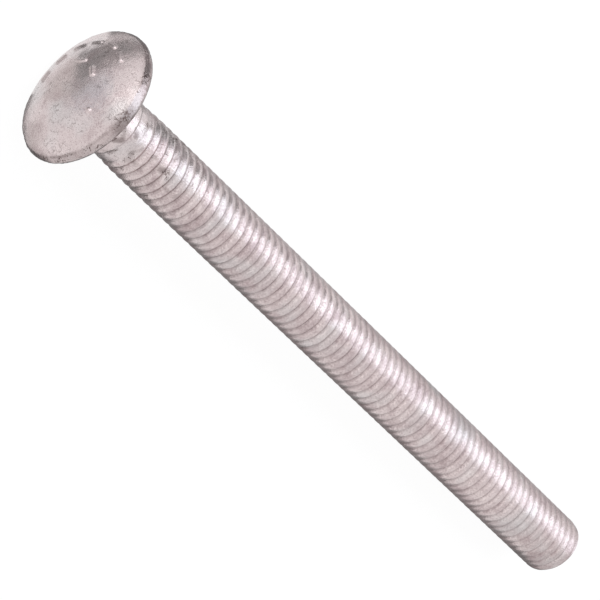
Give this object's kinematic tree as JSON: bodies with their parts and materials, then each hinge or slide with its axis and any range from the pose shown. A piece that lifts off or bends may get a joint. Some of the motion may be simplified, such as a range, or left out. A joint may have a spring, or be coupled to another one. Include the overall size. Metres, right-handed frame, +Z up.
{
  "type": "carriage bolt",
  "caption": "Hot-dip galvanised carriage bolt with a domed round head, a short square neck and a shank threaded down to its chamfered tip.",
  "frame": {"origin": "centre of the lying bolt's bounding box, on the surface it rests on", "axes": "+X runs along the surface from the head to the tip, +Z is up; the bolt's own axis lies in the XZ plane and dips by about 2.8 degrees towards the tip"},
  "size_m": [0.127, 0.0216, 0.0217],
  "materials": {
    "galvanised_steel": "hot-dip galvanised, satin with a fine grain"
  },
  "bodies": {
    "root": {"carriage_bolt": "galvanised_steel"}
  },
  "joints": []
}
